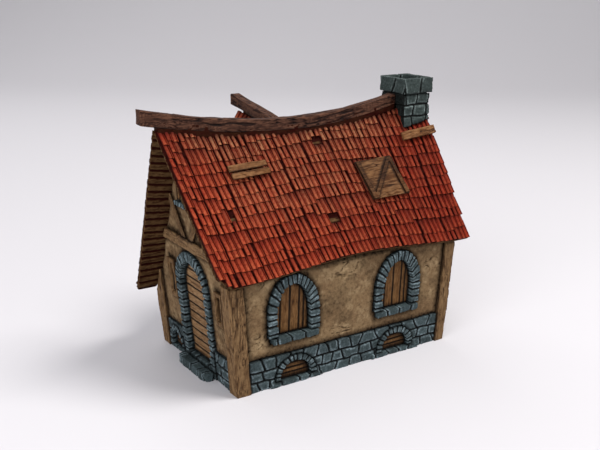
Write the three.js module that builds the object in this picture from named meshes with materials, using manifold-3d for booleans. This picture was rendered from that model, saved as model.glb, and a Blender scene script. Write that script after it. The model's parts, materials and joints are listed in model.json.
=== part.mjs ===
// A tabletop cottage for miniature games, about 1:60: stone plinth, plastered walls between
// leaning corner posts, and a tiled roof with sagging ridges that lifts off straight up.
// Millimetres, +Z up. The origin is the middle of the underside. The long front wall faces -Y,
// the gable with the door faces -X, the gable with the chimney faces +X.
import * as THREE from "three";
import { mergeVertices } from "three/addons/utils/BufferGeometryUtils.js";
import Module from "manifold-3d";

const wasm = await Module();
wasm.setup();

// ---- driving dimensions ----
const GAP = 0.3; // between neighbours that touch
const LENGTH = 120;
const DEPTH = 74.5;
const FLOOR_THICKNESS = 2.5;
const PLINTH_TOP = 15;
const LEAN_DOOR_GABLE = 0.1; // outward per unit of height
const LEAN_CHIMNEY_GABLE = 0.055;
const LEAN_LONG_WALLS = 0.036;

// Distances outward from the outer faces of the corner posts.
const INNER = -4.85;
const PLASTER = -1.65;
const PLINTH = -0.65;
const SURROUND = -0.2;
const TIMBER = -0.5;
const SILL = 0.9;
const BOARD_BACK = -4.6;
const BOARD_FRONT = -3.1;

const POST_WIDTH = 7;
const POST_SLIM = 5.5;

const ROOF_THICKNESS = 4;
const RIDGE_Y = -3.25;
const BEAM_DEPTH = 5;
const RIDGE_LOW = 109; // where the tiles meet the ridge beam, at the lowest point of the sag
const RIDGE_LOWEST_X = -8;
const RIDGE_RISE_LEFT = 0.00135;
const RIDGE_RISE_RIGHT = 0.00175;
const FRONT_EAVE = { y: -43.05, z: 54.3, lift: 3.2, inset: 2.1, middle: 5, reach: 66 };
const REAR_EAVE = { y: 42.65, z: 30.3 };
const VERGE = { ridgeLeft: -79.8, frontLeft: -69.8, rearLeft: -72, ridgeRight: 66.3, eaveRight: 69.4 };
const CUT_CORNER = { from: 0.92, x: -64.1 }; // the front left corner of the eave is cut off slantwise
const CROSS = { x: -10, y: 44, pitch: 1.664, low: 104.8, climb: 0.17, eaveZ: 30.3 };

const material = (color, roughness) => new THREE.MeshStandardMaterial({ color, roughness, metalness: 0 });
const PLASTER_PAINT = material(0x8a7355, 0.85);
const STONE_PAINT = material(0x5d6c6c, 0.7);
const POST_PAINT = material(0x6b5036, 0.8);
const BEAM_PAINT = material(0x4a2a18, 0.75);
const JOINERY_PAINT = material(0x6b4626, 0.75);
const TILE_PAINT = material(0x8f2f1c, 0.6);
const BASE_PAINT = material(0x3c342b, 0.9);

const house = new THREE.Group();
const roof = new THREE.Group();

const lerp = THREE.MathUtils.lerp;

function place(parent, name, geometry, paint) {
  const mesh = new THREE.Mesh(geometry, paint);
  mesh.name = name;
  parent.add(mesh);
  return mesh;
}

// ---- joining and cutting ----
function toSolid(geometry) {
  let plain = geometry.clone();
  plain.deleteAttribute("normal");
  plain.deleteAttribute("uv");
  plain = mergeVertices(plain, 1e-4);
  return new wasm.Manifold(
    new wasm.Mesh({
      numProp: 3,
      vertProperties: new Float32Array(plain.attributes.position.array),
      triVerts: new Uint32Array(plain.index.array),
    }),
  );
}

function fromSolid(solid) {
  const mesh = solid.getMesh();
  const geometry = new THREE.BufferGeometry();
  geometry.setAttribute("position", new THREE.BufferAttribute(new Float32Array(mesh.vertProperties), 3));
  geometry.setIndex(new THREE.BufferAttribute(new Uint32Array(mesh.triVerts), 1));
  geometry.computeVertexNormals();
  return geometry;
}

function carve(geometry, cutters) {
  let solid = toSolid(geometry);
  for (const cutter of cutters) {
    solid = solid.subtract(toSolid(cutter));
  }
  return fromSolid(solid);
}

function join(geometries) {
  let solid = toSolid(geometries[0]);
  for (const other of geometries.slice(1)) {
    solid = solid.add(toSolid(other));
  }
  return fromSolid(solid);
}

// Moves every corner of a geometry by a rule.
function bend(geometry, rule) {
  const position = geometry.attributes.position;
  const point = new THREE.Vector3();
  for (let i = 0; i < position.count; i += 1) {
    point.fromBufferAttribute(position, i);
    rule(point);
    position.setXYZ(i, point.x, point.y, point.z);
  }
  return geometry;
}

// Turns the faces out again after a bend that mirrors.
function facingOut(geometry) {
  const { index } = geometry;
  const { position } = geometry.attributes;
  const [a, b, c] = [new THREE.Vector3(), new THREE.Vector3(), new THREE.Vector3()];
  let volume = 0;
  for (let i = 0; i < index.count; i += 3) {
    a.fromBufferAttribute(position, index.getX(i));
    b.fromBufferAttribute(position, index.getX(i + 1));
    c.fromBufferAttribute(position, index.getX(i + 2));
    volume += a.dot(b.cross(c));
  }
  if (volume < 0) {
    index.array.reverse();
  }
  return geometry;
}

// ---- the four sides ----
const SIDES = {
  front: { turn: 0, face: DEPTH / 2 },
  chimneyGable: { turn: Math.PI / 2, face: LENGTH / 2 },
  rear: { turn: Math.PI, face: DEPTH / 2 },
  doorGable: { turn: -Math.PI / 2, face: LENGTH / 2 },
};

// All four walls lean outward towards the top, so the upright drawing is flared.
function flare(geometry) {
  return bend(geometry, (p) => {
    const lean = lerp(-LEAN_DOOR_GABLE, LEAN_CHIMNEY_GABLE, p.x / LENGTH + 0.5);
    p.x += p.z * lean;
    p.y *= 1 + (p.z * LEAN_LONG_WALLS) / (DEPTH / 2);
  });
}

// An outline drawn on a side (across to the right as seen from outside, and up), made solid
// from one distance to another, both measured outward from the corner posts' faces.
function onSide(side, shape, from, to) {
  const geometry = new THREE.ExtrudeGeometry(shape, { depth: to - from, bevelEnabled: false, curveSegments: 6 });
  geometry.translate(0, 0, SIDES[side].face + from);
  geometry.rotateX(Math.PI / 2);
  geometry.rotateZ(SIDES[side].turn);
  return flare(geometry);
}

// ---- outlines ----
function polygon(points) {
  return new THREE.Shape(points.map(([x, y]) => new THREE.Vector2(x, y)));
}

function rectangle(left, right, bottom, top) {
  return polygon([
    [left, bottom],
    [right, bottom],
    [right, top],
    [left, top],
  ]);
}

function arch(centre, half, bottom, spring, top) {
  const shape = new THREE.Shape();
  shape.moveTo(centre - half, bottom);
  shape.lineTo(centre + half, bottom);
  shape.lineTo(centre + half, spring);
  shape.absellipse(centre, spring, half, top - spring, 0, Math.PI, false);
  shape.closePath();
  return shape;
}

function archBand(centre, outer, inner, bottom, spring) {
  const shape = new THREE.Shape();
  shape.moveTo(centre + outer.half, bottom);
  shape.lineTo(centre + outer.half, spring);
  shape.absellipse(centre, spring, outer.half, outer.top - spring, 0, Math.PI, false);
  shape.lineTo(centre - outer.half, bottom);
  shape.lineTo(centre - inner.half, bottom);
  shape.lineTo(centre - inner.half, spring);
  shape.absellipse(centre, spring, inner.half, inner.top - spring, Math.PI, 0, true);
  shape.lineTo(centre + inner.half, bottom);
  shape.closePath();
  return shape;
}

// A timber from one point to another on a side.
function timberLine([x0, y0], [x1, y1], width) {
  const along = new THREE.Vector2(x1 - x0, y1 - y0).normalize();
  const dx = (-along.y * width) / 2;
  const dy = (along.x * width) / 2;
  return polygon([
    [x0 - dx, y0 - dy],
    [x1 - dx, y1 - dy],
    [x1 + dx, y1 + dy],
    [x0 + dx, y0 + dy],
  ]);
}

// ---- openings: each adds its pieces, and gives what its wall is cut with ----
const through = (side, shape) => onSide(side, shape, INNER - 2, SILL + 2);

const WINDOW = { outer: { half: 13, top: 53 }, inner: { half: 8.5, top: 48.5 }, spring: 34, sill: [21.4, 24.2] };

function archedWindow(side, name, centre) {
  const { outer, inner, spring, sill } = WINDOW;
  const sillHalf = 11.8;
  const base = sill[1] + GAP;
  const band = archBand(centre, outer, inner, base, spring);
  const leaf = arch(centre, inner.half - GAP, base, spring, inner.top - GAP);
  const ledge = rectangle(centre - sillHalf, centre + sillHalf, sill[0], sill[1]);
  place(house, `${name}_surround`, onSide(side, band, INNER, SURROUND), STONE_PAINT);
  place(house, `${name}_sill`, onSide(side, ledge, INNER, SILL), STONE_PAINT);
  place(house, `${name}_shutters`, onSide(side, leaf, BOARD_BACK, BOARD_FRONT), JOINERY_PAINT);
  return [
    through(side, arch(centre, outer.half + GAP, sill[1], spring, outer.top + GAP)),
    through(side, rectangle(centre - sillHalf - GAP, centre + sillHalf + GAP, sill[0] - GAP, sill[1] + GAP)),
  ];
}

const CELLAR = { outer: { half: 11, top: 13.7 }, inner: { half: 8.2, top: 11 }, spring: 3.5, base: 2.4, sillHalf: 14 };
const SMALL_CELLAR = { ...CELLAR, outer: { half: 7.4, top: 13.7 }, inner: { half: 5.2, top: 11 }, sillHalf: 8 };

function cellarWindow(side, name, centre, size = CELLAR) {
  const { outer, inner, spring, base } = size;
  const band = archBand(centre, outer, inner, base, spring);
  const boards = arch(centre, inner.half - GAP, base, spring, inner.top - GAP);
  place(house, `${name}_arch`, onSide(side, band, INNER, SURROUND), STONE_PAINT);
  place(house, `${name}_boards`, onSide(side, boards, BOARD_BACK, BOARD_FRONT + 0.6), JOINERY_PAINT);
  return [through(side, arch(centre, outer.half + GAP, base - GAP, spring, outer.top + GAP))];
}

const cellarSill = (side, centre) =>
  onSide(side, rectangle(centre - CELLAR.sillHalf, centre + CELLAR.sillHalf, 0, CELLAR.base - GAP), PLINTH - 1, 0.5);

// A slit window is one stone frame, closed at the back.
function slitWindow(name, centre, bottom, top) {
  const side = "doorGable";
  const block = onSide(side, rectangle(centre - 3, centre + 3, bottom - 2, top + 2), INNER, SURROUND);
  const recess = onSide(side, rectangle(centre - 2, centre + 2, bottom, top), BOARD_FRONT, SILL);
  place(house, name, carve(block, [recess]), STONE_PAINT);
  return [through(side, rectangle(centre - 3 - GAP, centre + 3 + GAP, bottom - 2 - GAP, top + 2 + GAP))];
}

// ---- the roof surfaces: height of the tiles over any point ----
function ridgeHeight(x) {
  const away = x - RIDGE_LOWEST_X;
  return RIDGE_LOW + (away < 0 ? RIDGE_RISE_LEFT : RIDGE_RISE_RIGHT) * away * away;
}

function frontEave(x) {
  const { y, z, lift, inset, middle, reach } = FRONT_EAVE;
  const phase = THREE.MathUtils.clamp((x - middle) / reach, -1, 1);
  const arc = 0.5 + 0.5 * Math.cos(Math.PI * phase);
  return { y: y + inset * arc, z: z + lift * arc };
}

const rearEave = () => REAR_EAVE;
const crossHeight = (y) => CROSS.low + CROSS.climb * Math.max(0, y);

const SLOPES = {
  front: {
    ridgeY: RIDGE_Y - BEAM_DEPTH / 2,
    eave: frontEave,
    left: (v) =>
      v < CUT_CORNER.from
        ? lerp(VERGE.ridgeLeft, VERGE.frontLeft, v / CUT_CORNER.from)
        : lerp(VERGE.frontLeft, CUT_CORNER.x, (v - CUT_CORNER.from) / (1 - CUT_CORNER.from)),
    rows: [0, 0.5, CUT_CORNER.from, 1],
  },
  rear: {
    ridgeY: RIDGE_Y + BEAM_DEPTH / 2,
    eave: rearEave,
    left: (v) => lerp(VERGE.ridgeLeft, VERGE.rearLeft, v),
    rows: [0, 1],
  },
};

// A slab under a slope: s runs from the left end (0) to the right end (1), v from ridge to eave.
function slopeSlab(slope, fromX, toX, thickness) {
  const columns = 16;
  const geometry = new THREE.BoxGeometry(1, 1, 1, columns, slope.rows.length - 1, 1);
  bend(geometry, (p) => {
    const v = slope.rows[Math.round((0.5 - p.y) * (slope.rows.length - 1))];
    const down = 0.5 - p.z;
    const x = lerp(fromX(v), toX(v), p.x + 0.5);
    const eave = slope.eave(x);
    const top = ridgeHeight(x);
    const runY = eave.y - slope.ridgeY;
    const runZ = eave.z - top;
    const run = Math.hypot(runY, runZ);
    const inwardY = (runZ / run) * Math.sign(runY);
    const inwardZ = (-runY / run) * Math.sign(runY);
    const fromRidge = Math.abs(slope.ridgeY + runY * v + inwardY * down * thickness - RIDGE_Y);
    const side = Math.sign(runY);
    const crossed = v === 0 && down > 0;
    const y = RIDGE_Y + side * (crossed ? GAP / 2 : fromRidge);
    p.set(x, y, top + runZ * v + inwardZ * down * thickness);
  });
  return facingOut(geometry);
}

const rightVerge = (v) => lerp(VERGE.ridgeRight, VERGE.eaveRight, v);

// The cross roof's slabs: hand is -1 for the slope that faces the door gable.
function crossSlab(hand, fromY, thickness) {
  const geometry = new THREE.BoxGeometry(1, 1, 1, 10, 1, 1);
  bend(geometry, (p) => {
    const y = lerp(fromY, CROSS.y, p.x + 0.5);
    const top = crossHeight(y);
    const drop = (0.5 - p.y) * (top - CROSS.eaveZ);
    const down = (0.5 - p.z) * thickness;
    const run = Math.hypot(1, CROSS.pitch);
    const outward = Math.max(GAP / 2, BEAM_DEPTH / 2 + drop / CROSS.pitch - (down * CROSS.pitch) / run);
    p.set(CROSS.x + hand * outward, y, top - drop - down / run);
  });
  return facingOut(geometry);
}

// Everything under the cross roof's tiles, out to a little past them.
function underCross(grow) {
  const geometry = new THREE.BoxGeometry(1, 1, 1, 2, 12, 1);
  bend(geometry, (p) => {
    const y = lerp(RIDGE_Y, CROSS.y + 8, p.y + 0.5);
    const apex = crossHeight(Math.min(y, CROSS.y)) + (BEAM_DEPTH / 2) * CROSS.pitch + grow;
    const across = p.x * 2;
    const low = p.z < 0;
    const reach = (apex + 10) / CROSS.pitch;
    p.set(CROSS.x + across * reach, y, low ? -12 : apex - Math.abs(across) * (apex + 10));
  });
  return facingOut(geometry);
}

// Everything under the main roof's boards, or under its tiles, on one slope.
function underSlope(slope, drop) {
  const geometry = new THREE.BoxGeometry(1, 1, 1, 24, 1, 1);
  bend(geometry, (p) => {
    const x = lerp(-100, 100, p.x + 0.5);
    const eave = slope.eave(x);
    const top = ridgeHeight(x);
    const past = 1.3;
    const v = p.y > 0 ? -0.07 : past;
    const fall = Math.hypot(eave.z - top, eave.y - slope.ridgeY) / Math.abs(eave.y - slope.ridgeY);
    const z = lerp(top, eave.z, v) - drop * fall;
    p.set(x, lerp(slope.ridgeY, eave.y, v), p.z < 0 ? -40 : z);
  });
  return facingOut(geometry);
}

const ROOM_UNDER_ROOF = ROOF_THICKNESS + 1;

// The walls are cut off by what is above the boards' underside, so they fit up to the roof.
function underRoof(geometry) {
  const front = toSolid(underSlope(SLOPES.front, ROOM_UNDER_ROOF));
  const rear = toSolid(underSlope(SLOPES.rear, ROOM_UNDER_ROOF));
  const cross = toSolid(underCross(-ROOM_UNDER_ROOF * Math.hypot(1, CROSS.pitch)));
  return fromSolid(toSolid(geometry).intersect(front.add(rear).add(cross)));
}

// ---- house: floor and corner posts ----
const halfLength = LENGTH / 2;
const halfDepth = DEPTH / 2;
const floor = new THREE.BoxGeometry(LENGTH + 2 * (INNER - GAP), DEPTH + 2 * (INNER - GAP), FLOOR_THICKNESS);
floor.translate(0, 0, FLOOR_THICKNESS / 2);

const POSTS = [
  { name: "post_front_left", x: -1, y: -1, width: POST_WIDTH, top: 52.2 },
  { name: "post_front_right", x: 1, y: -1, width: POST_SLIM, top: 59 },
  { name: "post_rear_left", x: -1, y: 1, width: POST_WIDTH, top: 45 },
  { name: "post_rear_right", x: 1, y: 1, width: POST_SLIM, top: 45 },
];

function post({ x, y, width, top }) {
  const geometry = new THREE.BoxGeometry(width, POST_WIDTH, top);
  geometry.translate(x * (halfLength - width / 2), y * (halfDepth - POST_WIDTH / 2), top / 2);
  return flare(geometry);
}

const floorCorners = POSTS.map((spec) => post({ ...spec, width: spec.width + GAP }));
place(house, "base_floor", carve(floor, floorCorners), BASE_PAINT);
for (const spec of POSTS) {
  place(house, spec.name, underRoof(post(spec)), POST_PAINT);
}

// ---- house: front ----
const FRONT_LEFT = -halfLength + POST_WIDTH + GAP;
const FRONT_RIGHT = halfLength - POST_SLIM - GAP;
const GABLE_HALF = halfDepth - POST_WIDTH - GAP;
const wallBase = PLINTH_TOP + GAP;

const frontCellars = [
  { name: "cellar_window_front_left", centre: -28.8 },
  { name: "cellar_window_front_right", centre: 28.3 },
];
const frontWindows = [
  { name: "window_front_left", centre: -29 },
  { name: "window_front_right", centre: 27.8 },
];
const frontWall = onSide("front", rectangle(FRONT_LEFT, FRONT_RIGHT, wallBase, 64), INNER, PLASTER);
const frontPlinth = onSide("front", rectangle(FRONT_LEFT, FRONT_RIGHT, 0, PLINTH_TOP), INNER, PLINTH);
const windowCuts = frontWindows.flatMap(({ name, centre }) => archedWindow("front", name, centre));
const cellarCuts = frontCellars.flatMap(({ name, centre }) => cellarWindow("front", name, centre));
const frontSills = frontCellars.map(({ centre }) => cellarSill("front", centre));
place(house, "wall_front", underRoof(carve(frontWall, windowCuts)), PLASTER_PAINT);
place(house, "plinth_front", carve(join([frontPlinth, ...frontSills]), cellarCuts), STONE_PAINT);

// ---- house: gable with the door ----
const DOOR = { centre: 2.25, outer: { half: 15, top: 58.4 }, inner: { half: 11, top: 53.4 }, spring: 40, sill: 5.5 };
const GABLE_BEAM = { bottom: 59.8, top: 64.9 };
const gableOutline = (side, bottom) => {
  const front = side === "doorGable" ? 1 : -1;
  return polygon([
    [-GABLE_HALF, bottom],
    [GABLE_HALF, bottom],
    [GABLE_HALF, front > 0 ? 75 : 60],
    [3.2 * front, 115],
    [-GABLE_HALF, front > 0 ? 60 : 75],
  ]);
};

const doorCut = [through("doorGable", arch(DOOR.centre, DOOR.outer.half + GAP, -1, DOOR.spring, DOOR.outer.top + GAP))];
const slitCuts = [
  ...slitWindow("slit_window_left", -16.8, 33, 48),
  ...slitWindow("slit_window_right", 26.4, 33, 45),
];
const ATTIC = { centre: 3.45, half: 4.6, bottom: 82.8, top: 97 };

function atticWindow() {
  const side = "doorGable";
  const { centre, half, bottom, top } = ATTIC;
  const frame = onSide(side, rectangle(centre - half, centre + half, bottom, top), INNER, TIMBER);
  const pane = onSide(side, rectangle(centre - half + 1.4, centre + half - 1.4, bottom + 1.2, top - 1.4), -2.6, 2);
  const ledge = rectangle(centre - half - 0.9, centre + half + 0.9, bottom - 2.6, bottom - GAP);
  place(house, "attic_window", carve(frame, [pane]), JOINERY_PAINT);
  place(house, "attic_sill", onSide(side, ledge, INNER, SILL), STONE_PAINT);
  return [
    through(side, rectangle(centre - half - GAP, centre + half + GAP, bottom - 1, top + GAP)),
    through(side, rectangle(centre - half - 0.9 - GAP, centre + half + 0.9 + GAP, bottom - 2.6 - GAP, bottom)),
  ];
}

// A timber frame on a gable: a tie beam across, and two braces that rise from its middle.
function gableFrame(side, name, apex, spread, rise, reach) {
  const beam = rectangle(-reach[0], reach[1], GABLE_BEAM.bottom, GABLE_BEAM.top);
  const foot = GABLE_BEAM.top + GAP;
  place(house, `${name}_tie_beam`, underRoof(onSide(side, beam, PLASTER + GAP, TIMBER + 0.4)), POST_PAINT);
  for (const hand of [-1, 1]) {
    const line = timberLine([apex + hand * 1.6, foot - 3], [apex + hand * spread, rise], 3.4);
    const brace = onSide(side, line, PLASTER + GAP, TIMBER);
    const below = through(side, rectangle(-60, 60, 0, foot));
    const [near, far] = [apex - (hand * GAP) / 2, apex - hand * 60].sort((a, b) => a - b);
    const across = through(side, rectangle(near, far, 0, 120));
    place(house, `${name}_brace_${hand < 0 ? "left" : "right"}`, underRoof(carve(brace, [below, across])), POST_PAINT);
  }
}

const doorCellar = -21.6;
const doorPlinth = onSide("doorGable", rectangle(-GABLE_HALF, GABLE_HALF, 0, PLINTH_TOP), INNER, PLINTH);
const doorWall = onSide("doorGable", gableOutline("doorGable", wallBase), INNER, PLASTER);
const doorCellarCuts = cellarWindow("doorGable", "cellar_window_gable", doorCellar, SMALL_CELLAR);
const doorGap = rectangle(DOOR.centre - DOOR.outer.half - GAP, DOOR.centre + DOOR.outer.half + GAP, -1, 80);
const leftOfDoor = through("doorGable", rectangle(DOOR.centre, 60, -1, 80));
const rightOfDoor = through("doorGable", rectangle(-60, DOOR.centre, -1, 80));
const plinthWithoutDoor = carve(doorPlinth, [through("doorGable", doorGap), ...doorCellarCuts]);
place(house, "plinth_gable_left_of_door", carve(plinthWithoutDoor, [leftOfDoor]), STONE_PAINT);
place(house, "plinth_gable_right_of_door", carve(plinthWithoutDoor, [rightOfDoor]), STONE_PAINT);
place(house, "wall_door_gable", underRoof(carve(doorWall, [...doorCut, ...slitCuts, ...atticWindow()])), PLASTER_PAINT);

const doorBand = archBand(DOOR.centre, DOOR.outer, DOOR.inner, 0, DOOR.spring);
const doorLeaf = arch(DOOR.centre, DOOR.inner.half - GAP, DOOR.sill + GAP, DOOR.spring, DOOR.inner.top - GAP);
const threshold = rectangle(DOOR.centre - DOOR.inner.half + GAP, DOOR.centre + DOOR.inner.half - GAP, 0, DOOR.sill);
place(house, "door_surround", onSide("doorGable", doorBand, INNER, SURROUND), STONE_PAINT);
place(house, "door_leaf", onSide("doorGable", doorLeaf, BOARD_BACK, BOARD_FRONT), JOINERY_PAINT);
place(house, "door_threshold", onSide("doorGable", threshold, INNER, SURROUND), STONE_PAINT);

const STEP = { half: 14, out: 4.4, height: 4, corner: 2.5 };
const stepOutline = new THREE.Shape();
stepOutline.moveTo(-STEP.half, 0);
stepOutline.lineTo(-STEP.half, STEP.out - STEP.corner);
stepOutline.absarc(-STEP.half + STEP.corner, STEP.out - STEP.corner, STEP.corner, Math.PI, Math.PI / 2, true);
stepOutline.absarc(STEP.half - STEP.corner, STEP.out - STEP.corner, STEP.corner, Math.PI / 2, 0, true);
stepOutline.lineTo(STEP.half, 0);
stepOutline.closePath();
const step = new THREE.ExtrudeGeometry(stepOutline, { depth: STEP.height, bevelEnabled: false, curveSegments: 4 });
step.rotateZ(Math.PI / 2);
const stepMesh = place(house, "door_step", step, STONE_PAINT);
stepMesh.position.set(-halfLength - GAP - STEP.height * LEAN_DOOR_GABLE, -DOOR.centre, 0);

gableFrame("doorGable", "door_gable", 3.4, 15, 86, [21, 31]);

// ---- house: gable with the chimney ----
const chimneyWall = onSide("chimneyGable", gableOutline("chimneyGable", wallBase), INNER, PLASTER);
const chimneyPlinth = onSide("chimneyGable", rectangle(-GABLE_HALF, GABLE_HALF, 0, PLINTH_TOP), INNER, PLINTH);
place(house, "wall_chimney_gable", underRoof(chimneyWall), PLASTER_PAINT);
place(house, "plinth_chimney_gable", chimneyPlinth, STONE_PAINT);
gableFrame("chimneyGable", "chimney_gable", -3.4, 15, 86, [31, 21]);

// ---- house: rear, one wide gable under the cross roof ----
const REAR_LEFT = -FRONT_RIGHT;
const REAR_RIGHT = -FRONT_LEFT;
const rearWall = onSide("rear", rectangle(REAR_LEFT, REAR_RIGHT, wallBase, 118), INNER, PLASTER);
const rearPlinth = onSide("rear", rectangle(REAR_LEFT, REAR_RIGHT, 0, PLINTH_TOP), INNER, PLINTH);
const rearCuts = archedWindow("rear", "window_rear", -CROSS.x);
place(house, "wall_rear", underRoof(carve(rearWall, rearCuts)), PLASTER_PAINT);
place(house, "plinth_rear", rearPlinth, STONE_PAINT);
gableFrame("rear", "rear_gable", -CROSS.x, 13, 86, [12.5, 33]);

// ---- ridge beams: logs that sag with the roof and kick up at their ends ----
const RIDGE_BEAM = { left: -86.5, right: 48.9, height: 5.4, swell: 1.1, taper: 0.5, seat: 0.6, lift: 0.0005 };
const CROSS_BEAM = { start: RIDGE_Y + BEAM_DEPTH / 2 + GAP, end: 51, height: 5.2 };

function ridgeBeam() {
  const { left, right, height, swell, taper, seat, lift } = RIDGE_BEAM;
  const geometry = new THREE.BoxGeometry(1, BEAM_DEPTH, 1, 18, 1, 1);
  return bend(geometry, (p) => {
    const x = lerp(left, right, p.x + 0.5);
    const bottom = ridgeHeight(x) + seat + lift * Math.max(0, x - RIDGE_LOWEST_X) ** 2;
    const thickness = height + swell * (Math.min(0, x) / left) ** 2 - taper * (Math.max(0, x) / right) ** 2;
    p.set(x, RIDGE_Y + p.y, bottom + (p.z + 0.5) * thickness);
  });
}

function crossBeam(grow = 0) {
  const { start, end, height } = CROSS_BEAM;
  const geometry = new THREE.BoxGeometry(BEAM_DEPTH + 2 * grow, 1, 1, 1, 10, 1);
  return bend(geometry, (p) => {
    const y = lerp(start - 3 * grow, end, p.y + 0.5);
    p.set(CROSS.x + p.x, y, crossHeight(y) + GAP - grow + (p.z + 0.5) * (height + 2 * grow));
  });
}

place(roof, "ridge_beam", ridgeBeam(), BEAM_PAINT);
place(roof, "cross_ridge_beam", crossBeam(), BEAM_PAINT);

// ---- roof slabs ----
const middleLeft = () => CROSS.x - GAP / 2;
const middleRight = () => CROSS.x + GAP / 2;
const crossTop = underCross(GAP);
const mainInside = underSlope(SLOPES.rear, ROOF_THICKNESS - 0.1);
const rearLeft = slopeSlab(SLOPES.rear, SLOPES.rear.left, middleLeft, ROOF_THICKNESS);
const rearRight = slopeSlab(SLOPES.rear, middleRight, rightVerge, ROOF_THICKNESS);
place(roof, "roof_front", slopeSlab(SLOPES.front, SLOPES.front.left, rightVerge, ROOF_THICKNESS), TILE_PAINT);
place(roof, "roof_rear_left", carve(rearLeft, [crossTop, crossBeam(GAP)]), TILE_PAINT);
place(roof, "roof_rear_right", carve(rearRight, [crossTop, crossBeam(GAP)]), TILE_PAINT);
place(roof, "roof_cross_left", carve(crossSlab(-1, 3, ROOF_THICKNESS), [mainInside]), TILE_PAINT);
place(roof, "roof_cross_right", carve(crossSlab(1, 3, ROOF_THICKNESS), [mainInside]), TILE_PAINT);

// ---- chimney: a stone shaft astride the ridge, and a heavier open cap ----
const CHIMNEY = { x: 57.2, y: RIDGE_Y, halfX: 8, halfY: 9, bottom: 85, top: 121.8 };
const CAP = { halfX: 9, halfY: 9.7, top: 129.4, openHalfX: 6.1, openHalfY: 6.8 };

function chimneyShaft() {
  const { x, y, halfX, halfY, bottom, top } = CHIMNEY;
  const block = new THREE.BoxGeometry(2 * halfX, 2 * halfY, top - bottom);
  block.translate(x, y, (top + bottom) / 2);
  return carve(block, [underSlope(SLOPES.front, -GAP), underSlope(SLOPES.rear, -GAP)]);
}

const capOutline = rectangle(-CAP.halfX, CAP.halfX, -CAP.halfY, CAP.halfY);
capOutline.holes.push(rectangle(-CAP.openHalfX, CAP.openHalfX, -CAP.openHalfY, CAP.openHalfY));
const capHeight = CAP.top - CHIMNEY.top - GAP;
const cap = new THREE.ExtrudeGeometry(capOutline, { depth: capHeight, bevelEnabled: false });
place(roof, "chimney_shaft", chimneyShaft(), STONE_PAINT);
place(roof, "chimney_cap", cap, STONE_PAINT).position.set(CHIMNEY.x, CHIMNEY.y, CHIMNEY.top + GAP);

// ---- boards that lie on the front slope ----
function frontSlopePoint(x, share) {
  const eave = frontEave(x);
  const y = lerp(SLOPES.front.ridgeY, eave.y, share);
  return new THREE.Vector3(x, y, lerp(ridgeHeight(x), eave.z, share));
}

// A frame on the tiles: x along the slope, y up it, z out of the roof. tilt turns it about z.
function onFrontSlope(x, y, tilt = 0) {
  const share = (y - SLOPES.front.ridgeY) / (frontEave(x).y - SLOPES.front.ridgeY);
  const up = frontSlopePoint(x, share - 0.05).sub(frontSlopePoint(x, share + 0.05)).normalize();
  const along = frontSlopePoint(x + 5, share).sub(frontSlopePoint(x - 5, share)).normalize();
  const out = new THREE.Vector3().crossVectors(along, up).normalize();
  const group = new THREE.Group();
  group.setRotationFromMatrix(new THREE.Matrix4().makeBasis(along, new THREE.Vector3().crossVectors(out, along), out));
  group.position.copy(frontSlopePoint(x, share));
  group.rotateZ(tilt);
  roof.add(group);
  return group;
}

function board(parent, name, outline, low, high) {
  const geometry = new THREE.ExtrudeGeometry(outline, { depth: high - low, bevelEnabled: false });
  geometry.translate(0, 0, low);
  place(parent, name, geometry, JOINERY_PAINT);
}

// The hatch leans: its sides run down the slope a little towards the chimney.
const HATCH = { x: 27.2, y: -22.8, half: 10.7, reach: 9.8, skew: 0.185, frame: 1.9, low: 0.7, panel: 1.5, top: 2.3 };

function hatchOutline(half, reach) {
  const shift = HATCH.skew * reach;
  return polygon([
    [-half + shift, -reach],
    [half + shift, -reach],
    [half - shift, reach],
    [-half - shift, reach],
  ]);
}

const hatch = onFrontSlope(HATCH.x, HATCH.y);
board(hatch, "hatch_panel", hatchOutline(HATCH.half, HATCH.reach), HATCH.low, HATCH.panel);

const battens = [-1, 1].map((hand) => {
  const at = hand * (HATCH.half - HATCH.frame / 2 - 0.4);
  const shift = HATCH.skew * HATCH.reach;
  return timberLine([at + shift, -HATCH.reach + 0.3], [at - shift, HATCH.reach - 0.3], HATCH.frame);
});
const diagonal = timberLine(
  [-HATCH.half + HATCH.frame + HATCH.skew * HATCH.reach, -HATCH.reach + 0.8],
  [HATCH.half - HATCH.frame - HATCH.skew * HATCH.reach, HATCH.reach - 0.8],
  HATCH.frame,
);
const frameParts = [...battens, diagonal].map((outline) => {
  const geometry = new THREE.ExtrudeGeometry(outline, { depth: HATCH.top - HATCH.panel - GAP, bevelEnabled: false });
  return geometry.translate(0, 0, HATCH.panel + GAP);
});
place(hatch, "hatch_battens", join(frameParts), JOINERY_PAINT);

const PATCH = { x: -41.4, y: -15.6, half: 9.8, width: 2.9, apart: 0.7, tilt: 0.1, low: 0.5, top: 1.7 };
const patch = onFrontSlope(PATCH.x, PATCH.y, PATCH.tilt);
const near = PATCH.apart / 2;
const far = near + PATCH.width;
board(patch, "patch_board_upper", rectangle(-PATCH.half, PATCH.half, near, far), PATCH.low, PATCH.top);
board(patch, "patch_board_lower", rectangle(-PATCH.half + 0.5, PATCH.half + 0.3, -far, -near), PATCH.low, PATCH.top);

const PLANK = { x: 56.3, y: -14.05, half: 9.9, halfWidth: 2.05, tilt: -0.075, low: 0.7, top: 2.4 };
const plank = onFrontSlope(PLANK.x, PLANK.y, PLANK.tilt);
const plankOutline = rectangle(-PLANK.half, PLANK.half, -PLANK.halfWidth, PLANK.halfWidth);
board(plank, "chimney_plank", plankOutline, PLANK.low, PLANK.top);

house.name = "house";
roof.name = "roof";
const cottage = new THREE.Group();
cottage.add(house, roof);
export default cottage;
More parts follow.
